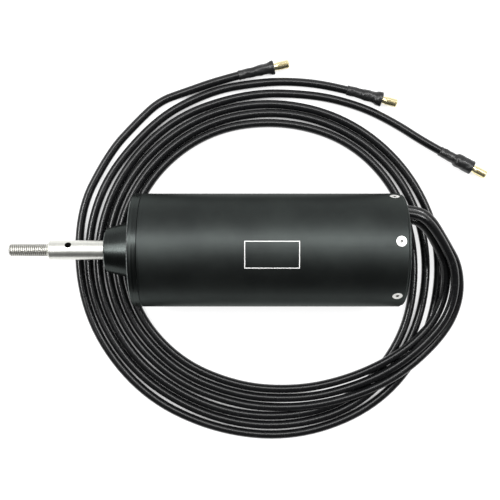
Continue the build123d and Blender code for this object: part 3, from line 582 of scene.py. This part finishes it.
def printed_frame(finish):
    """A mask that is 1 on the thin frame, on the upper side only."""
    along, across, up = finish.axes()
    outer = band(along, *PRINT_X) * band(across, *PRINT_Y)
    inner = band(along, PRINT_X[0] + PRINT_LINE, PRINT_X[1] - PRINT_LINE) * band(
        across, PRINT_Y[0] + PRINT_LINE, PRINT_Y[1] - PRINT_LINE)
    return (outer - inner) * (up > 0.0)


print("frame:", round(PRINT_X[1] - PRINT_X[0], 4), "by", round(PRINT_Y[1] - PRINT_Y[0], 4), "m")


# %% Anodised metal, with its painted edge highlights, its wear and its print
def anodised(name, roughness, highlight_and_wear_bands=(), printed=False):
    """Black anodised metal with turning rings. The edge bands are painted lighter: a painted
    highlight with rubbed patches.
    """
    finish = Finish(name, Specular_Tint=GLANCING_TINT)
    along = finish.axes()[0]
    cloud = finish.grain(38, detail=4)
    rings = finish.grain(2600, stretch=(1, 0.02, 0.02), detail=2)
    speckle = finish.grain(5200, detail=1)
    coarse_rings = finish.grain(760, stretch=(1, 0.01, 0.01), detail=1)
    streak = (coarse_rings - 0.5) * band(along, *COARSE_RINGS)
    tone = finish.ramp(cloud, (0.35, 0.0), (0.7, 1.0)) + 2.2 * streak
    colour = finish.blend(tone, ANODISED_BLACK, ANODISED_GREY)
    dullness = roughness + 0.08 * (cloud - 0.5) + 0.08 * (rings - 0.5) + 0.4 * streak
    metallic = 1.0
    if highlight_and_wear_bands:
        edge = sum(band(along, start, end) for start, end in highlight_and_wear_bands)
        # painted highlight along the chamfers, broken into rubbed patches
        colour = finish.blend(edge * highlight_and_wear_patches(finish), colour, EDGE_HIGHLIGHT_AND_WEAR)
        dullness = dullness - 0.12 * edge
    if printed:
        ink = printed_frame(finish)
        colour = finish.blend(ink, colour, PRINT_WHITE)
        metallic = 1.0 - ink
    finish.wear(Base_Color=colour, Roughness=dullness, Metallic=metallic)
    finish.relief(rings * 0.7 + speckle * 0.3, depth=RING_RELIEF)
    return finish


# %% The can and its covers
anodised("anodised_can", 0.45, printed=True).on(nodes["housing_tube"])
# the covers' chamfers get a painted highlight with rubbed patches
anodised("anodised_front_cover", 0.28, highlight_and_wear_bands=[NOSE_EDGE, FRONT_EDGE]).on(nodes["front_cover"])
anodised("anodised_rear_cover", 0.45, highlight_and_wear_bands=[REAR_EDGE]).on(nodes["rear_cover"])

# %% [markdown]
# The shaft is stainless steel, ground between centres. Grinding leaves rings much finer than
# turning does, which spread each highlight along the shaft. An anisotropic surface can do the
# same, but it needs a tangent to follow, and a bump of rings needs only the place along the axis.
# The cross hole is painted dark as shade, and made rougher: a point is in it if it is near the
# hole's place and inside the shaft's skin.

# %% Ground stainless steel
STEEL_LIGHT = (0.80, 0.80, 0.755)
STEEL_DARK = (0.62, 0.62, 0.58)
# painted shade for the inside of the cross hole
HOLE_SHADE = (0.035, 0.034, 0.030)
CROSS_HOLE_X = -0.0402
CROSS_HOLE_RADIUS = 0.0021
SHAFT_SKIN = 0.0058  # nearer to the axis than this, a point is inside the hole


def distance(first, second):
    """How far a point is from an axis, by its two places across it."""
    return (first * first + second * second).root()


def ground_steel(name, roughness):
    """Bright steel with fine grinding rings about the X axis, dark in its cross hole."""
    finish = Finish(name, Metallic=1.0)
    rings = finish.grain(6000, stretch=(1, 0.03, 0.03), detail=3)
    smear = finish.grain(120, detail=3)
    tone = finish.ramp(rings * 0.6 + smear * 0.4, (0.3, 0.0), (0.7, 1.0))
    along, across, up = finish.axes()
    near_hole = abs(along - CROSS_HOLE_X) < CROSS_HOLE_RADIUS
    in_hole = near_hole * (distance(across, up) < SHAFT_SKIN)
    steel = finish.blend(tone, STEEL_DARK, STEEL_LIGHT)
    # painted shade: the cross hole is darker than the steel
    finish.wear(
        Base_Color=finish.blend(in_hole, steel, HOLE_SHADE),
        Roughness=roughness + 0.12 * (rings - 0.5) + 0.08 * (smear - 0.5) + 0.2 * in_hole,
    )
    finish.relief(rings, depth=0.000006)
    return finish


ground_steel("ground_steel", 0.36).on(propeller_shaft)

# %% [markdown]
# The thread is the same steel, but rolled and used: its crests are bright, and its roots are
# rougher and painted darker as shade. How deep a point lies under the crests says which it is, so
# the painted shade follows the real thread, and the plain neck stays bright.

# %% Rolled thread with painted shade in its roots
CREST_STEEL = (0.74, 0.735, 0.70)
# painted shade for the thread's roots
ROOT_SHADE_STEEL = (0.32, 0.315, 0.295)

thread_finish = Finish("rolled_thread", Metallic=1.0)
across_stud, up_stud, along_stud = thread_finish.axes()
depth = (THREAD_RADIUS - distance(across_stud, up_stud)) * (1 / THREAD_DEPTH)
in_root = thread_finish.ramp(depth, (0.20, 0.0), (0.90, 1.0)) * (along_stud > THREAD_START)
soil = thread_finish.grain(700, detail=3)
# painted shade: the roots are darker than the crests
thread_finish.wear(
    Base_Color=thread_finish.blend(in_root, CREST_STEEL, ROOT_SHADE_STEEL),
    Roughness=0.36 + 0.16 * in_root + 0.12 * (soil - 0.5),
)
thread_finish.on(stud_thread)

# %% [markdown]
# The rear cover's countersunk screws are stainless too. They come tumbled from the maker, so they
# are mottled where the shaft is ringed, and noise with no stretch gives that. Their sockets are
# painted darker as shade, and lie nearer to the can's axis than the heads do.

# %% Tumbled screw heads
SCREW_DARK = (0.76, 0.76, 0.74)
SCREW_LIGHT = (0.93, 0.93, 0.90)
# painted shade for the hex sockets
SOCKET_SHADE = (0.16, 0.16, 0.155)
SOCKET_TOP = 0.0346  # nearer to the can's axis than this is inside a socket

screw_finish = Finish("tumbled_steel", Metallic=1.0)
mottle = screw_finish.grain(1500, detail=4)
_, screw_across, screw_up = screw_finish.axes()
in_socket = distance(screw_across, screw_up) < SOCKET_TOP
head = screw_finish.blend(mottle, SCREW_DARK, SCREW_LIGHT)
# painted shade: the sockets are darker than the heads
screw_finish.wear(
    Base_Color=screw_finish.blend(in_socket, head, SOCKET_SHADE),
    Roughness=0.42 + 0.30 * (mottle - 0.3),
)
screw_finish.relief(mottle, depth=0.000010)
screw_finish.on(nodes["rear_cover_screws"])

# %% [markdown]
# Silicone insulation is soft and slightly dusty. It shows a narrow bright line where it faces
# the light, which a low roughness gives, and its skin is finely pebbled from the extruder, which
# is a bump. A texture wrapped along the cable would stretch in the bends. Noise in the object's
# own space doesn't, so the lint and the dull patches come from that.

# %% Black silicone
SILICONE_BLACK = (0.0030, 0.0031, 0.0035)
SILICONE_LINT = (0.018, 0.019, 0.021)

silicone = Finish("black_silicone", Specular_IOR_Level=0.3, Coat_Roughness=0.22)
pebble = silicone.grain(3800, detail=2)
lint = silicone.ramp(silicone.grain(420, stretch=(1, 1, 0.4), detail=6, roughness=0.7),
                     (0.56, 0.0), (0.72, 1.0))
patch = silicone.grain(45, detail=2)
silicone.wear(
    Base_Color=silicone.blend(lint * 0.5, SILICONE_BLACK, SILICONE_LINT),
    Roughness=0.27 + 0.12 * (patch - 0.5) + 0.14 * lint,
    Coat_Weight=0.2 + 0.2 * (patch - 0.5),
)
silicone.relief(pebble, depth=0.000007)
silicone.on(*cables.values(), *(nodes[f"phase_lead_{phase}"] for phase in ROUTES))

# %% [markdown]
# Heat-shrink tube is harder and duller than the silicone under it, and gets fine creases as it
# draws in. They could be modelled as the dents are, but they are so much smaller that a bump
# does. A little bloom makes it paler in patches.

# %% Matt heat-shrink
SHRINK_BLACK = (0.0040, 0.0042, 0.0044)
SHRINK_BLOOM = (0.010, 0.010, 0.0105)

shrunk = Finish("heat_shrink", Specular_IOR_Level=0.4, Coat_Roughness=0.16)
crease = shrunk.grain(520, stretch=(0.5, 1, 1), detail=4)
bloom = shrunk.grain(160, detail=3)
shrunk.wear(
    Base_Color=shrunk.blend(bloom, SHRINK_BLACK, SHRINK_BLOOM),
    Roughness=0.38 + 0.18 * (bloom - 0.5),
    Coat_Weight=0.05 + 0.2 * bloom,
)
shrunk.relief(crease, depth=0.000420)
shrunk.on(*sleeves.values())

# %% [markdown]
# The bullet pins are brass with a thin coat of gold, so a metal with a pale yellow colour is all
# they need. Plating is never quite even: the same noise makes it a little deeper in colour and
# smoother in some places than in others.

# %% Gold plate
GOLD_DEEP = (0.84, 0.72, 0.38)
GOLD_PALE = (0.96, 0.88, 0.58)

gold = Finish("gold_plate", Metallic=1.0)
cast = gold.grain(600, detail=3)
gold.wear(
    Base_Color=gold.blend(cast, GOLD_DEEP, GOLD_PALE),
    Roughness=0.22 + 0.16 * (cast - 0.3),
)
gold.relief(gold.grain(4200, detail=2), depth=0.000008)
gold.on(*(nodes[f"bullet_connector_{phase}"] for phase in ROUTES))

# %% [markdown]
# Behind the cables the outlet is filled with black resin, poured and cured. Its face is smooth
# and shiny with a slow swell and a few pin holes. A clear coat over a dark base gives the depth
# of a poured face, and is thinner in the pin holes.

# %% Cast resin
RESIN_BLACK = (0.010, 0.010, 0.011)
RESIN_GREY = (0.020, 0.020, 0.021)

resin = Finish("cast_resin", Coat_Roughness=0.12)
swell = resin.grain(260, detail=2)
pin_holes = resin.ramp(resin.grain(1900, detail=1), (0.70, 0.0), (0.76, 1.0))
resin.wear(
    Base_Color=resin.blend(swell, RESIN_BLACK, RESIN_GREY),
    Roughness=0.30 + 0.25 * pin_holes,
    Coat_Weight=0.5 - 0.4 * pin_holes,
)
resin.relief(swell - 0.5 * pin_holes, depth=0.00012)
resin.on(nodes["cable_potting"])

# %% [markdown]
# The works inside are seen only when the can is taken off, yet each has its own finish: the
# stator's stacked sheets show their edges, the coils show the lay of their wire, magnets are
# plated, and bearings are ground and polished. One function could take every case, but two short
# ones are easier to read: one for a plain worked surface, and one that adds stripes across an
# axis for stacked sheets and laid wire.

# %% Finishes of the inner works
X_AXIS, Y_AXIS = 0, 1
WORKED_GRAIN = 700
FINE_RELIEF = 0.00001
FIBRE_RELIEF = 0.00004


def worked(name, dark, light, roughness, metallic=0.0, relief=FINE_RELIEF):
    """A plain worked material: two tones in a fine grain."""
    finish = Finish(name, Metallic=metallic)
    grain = finish.grain(WORKED_GRAIN, detail=3)
    finish.wear(
        Base_Color=finish.blend(grain, dark, light),
        Roughness=roughness + 0.2 * (grain - 0.5),
    )
    finish.relief(grain, depth=relief)
    return finish


def layered(name, dark, light, roughness, metallic, axis, pitch, relief):
    """Stripes across one axis, one for each pitch."""
    finish = Finish(name, Metallic=metallic)
    stripe = 0.5 + 0.5 * (finish.axes()[axis] * (2 * pi / pitch)).wave()
    grain = finish.grain(500, detail=3)
    tone = 0.65 * stripe + 0.35 * grain
    finish.wear(
        Base_Color=finish.blend(tone, dark, light),
        Roughness=roughness + 0.2 * (grain - 0.5),
    )
    finish.relief(stripe, depth=relief)
    return finish


def nodes_named(*beginnings):
    """The CAD nodes whose names start with one of these."""
    return [node for name, node in nodes.items() if name.startswith(beginnings)]


bearings = nodes_named("front_bearing", "rear_bearing")
print("bearing parts:", len(bearings))

# %% The stator and the coils
layered(
    "stacked_sheets", (0.16, 0.165, 0.175), (0.42, 0.43, 0.45), roughness=0.45, metallic=0.9,
    axis=X_AXIS, pitch=0.001, relief=0.00005,
).on(*nodes_named("stator_stack", "rotor_core"))
layered(
    "enamelled_wire", (0.22, 0.06, 0.02), (0.72, 0.28, 0.10), roughness=0.32, metallic=0.8,
    axis=Y_AXIS, pitch=0.0014, relief=0.00025,
).on(*nodes_named("winding"))
worked(
    "aramid_board", (0.42, 0.38, 0.28), (0.66, 0.62, 0.50), roughness=0.75, relief=FIBRE_RELIEF,
).on(*nodes_named("slot_liners", "front_insulator", "rear_insulator"))

# %% The rotor
layered(
    "wound_band", (0.012, 0.012, 0.014), (0.05, 0.05, 0.055), roughness=0.35, metallic=0.0,
    axis=X_AXIS, pitch=0.0012, relief=FIBRE_RELIEF,
).on(*nodes_named("rotor_sleeve"))
worked(
    "nickel_plate", (0.42, 0.42, 0.41), (0.62, 0.61, 0.59), roughness=0.30, metallic=1.0,
).on(*nodes_named("magnets"))
worked(
    "turned_brass", (0.50, 0.33, 0.11), (0.72, 0.52, 0.22), roughness=0.30, metallic=1.0,
).on(*nodes_named("front_balance", "rear_balance"))

# %% Bearings, springs and seals
worked(
    "polished_steel", (0.60, 0.60, 0.61), (0.80, 0.80, 0.81), roughness=0.14, metallic=1.0,
).on(*[node for node in bearings if node.name.endswith(("ring", "balls"))])
worked(
    "pressed_steel", (0.36, 0.35, 0.34), (0.56, 0.55, 0.53), roughness=0.34, metallic=1.0,
).on(*[node for node in bearings if node.name.endswith(("cage", "shields"))])
worked(
    "spring_steel", (0.05, 0.05, 0.052), (0.13, 0.125, 0.12), roughness=0.42, metallic=0.9,
).on(*nodes_named("bearing_circlip", "rotor_circlip", "preload_washer"))
worked(
    "nitrile_rubber", (0.008, 0.008, 0.008), (0.020, 0.020, 0.020), roughness=0.62,
).on(*nodes_named("front_o_ring", "rear_o_ring", "shaft_seal"))

# %% [markdown]
# The table is a plain pale sheet that gives off a little light of its own, as for a catalogue
# picture, so the shadows on it stay faint. More lights could thin the shadows too, but they
# would show on the can. No light gets out where cables lie close together, which ambient
# occlusion stands for. The table isn't part of the motor.

# %% Pale table
TABLE_HALF = 1.6
TABLE_GLOW = 0.80
PAPER_DARK = (0.26, 0.26, 0.26)
PAPER_LIGHT = (0.29, 0.29, 0.29)
GAP_REACH = 0.0035  # how far off a cable still dims the table's own light

corners = [(-1, -1), (1, -1), (1, 1), (-1, 1)]
table_mesh = bpy.data.meshes.new("pale_table")
table_mesh.from_pydata(
    [(x * TABLE_HALF + CAMERA_MIDDLE[0], y * TABLE_HALF, TABLE_TOP) for x, y in corners],
    [], [(0, 1, 2, 3)],
)
table = bpy.data.objects.new("pale_table", table_mesh)
bpy.context.scene.collection.objects.link(table)
paper = Finish(
    "pale_paper", Roughness=0.9, Specular_IOR_Level=0.1, Emission_Strength=TABLE_GLOW)
open_sky = paper.node("ShaderNodeAmbientOcclusion", sockets={"Distance": GAP_REACH}, output=1)
paper.wear(
    Base_Color=paper.blend(paper.grain(30, detail=2), PAPER_DARK, PAPER_LIGHT),
    Emission_Color=paper.ramp(open_sky, (0.15, 0.0), (0.42, 1.0)),
)
paper.on(table)

# %% [markdown]
# The studio's walls are bright behind the motor, towards +Y, and dim in front of it, so the
# can's upper half is a little lighter than its lower one. Real walls would need a room round the
# set, and the world does the same with a few nodes: its light follows the direction that a ray
# leaves in. The camera itself sees a plain pale wall all round.

# %% Studio walls
WALL_BRIGHT = 0.85
WALL_DIM = 0.09
WALL_SEEN = (0.90, 0.90, 0.90)

world = bpy.data.worlds.new("studio")
bpy.context.scene.world = world
world.use_nodes = True
walls = Graph(world.node_tree)
toward_back = walls.parts(walls.node("ShaderNodeTexCoord", output="Generated"))[1]
lit = walls.ramp(toward_back * 0.5 + 0.5, (0.45, WALL_DIM), (0.68, WALL_BRIGHT))
seen = walls.node("ShaderNodeLightPath", output="Is Camera Ray")
walls.feed(world.node_tree.nodes["Background"].inputs["Color"], walls.blend(seen, lit, WALL_SEEN))
bpy.context.scene.view_settings.view_transform = "Standard"
print("walls from", WALL_DIM, "to", WALL_BRIGHT)

# %% [markdown]
# A highlight on a shiny part is a picture of the lamp, so the lamps' shapes matter more than
# their power. One long strip over the motor, a little towards +Y, draws the pale band along the
# can and one thin line along each cable. Two small panels, off both ends of the can, are what
# its conical nose and the cables that run across the picture show as their bright line.


# %% Soft boxes
def soft_box(name, place, target, size, watts):
    """A rectangular area light that faces its target."""
    data = bpy.data.lights.new(name, "AREA")
    data.shape = "RECTANGLE"
    data.size, data.size_y = size
    data.energy = watts
    light = bpy.data.objects.new(name, data)
    light.location = place
    light.rotation_euler = (Vector(target) - Vector(place)).to_track_quat("-Z", "Y").to_euler()
    bpy.context.scene.collection.objects.link(light)
    print(name, "gives", watts, "W from", place)


soft_box("key_strip", place=(0.08, 0.365, 0.95), target=(0.08, 0.0, 0.0), size=(1.9, 0.26),
         watts=12.0)
soft_box("front_panel", place=(-0.57, 0.045, 0.95), target=(0.0, 0.0, 0.0), size=(0.30, 0.16),
         watts=7.0)
soft_box("rear_panel", place=(0.73, 0.045, 0.95), target=(0.16, 0.0, 0.0), size=(0.30, 0.16),
         watts=5.5)

# %% Update the scene
bpy.context.view_layer.update()
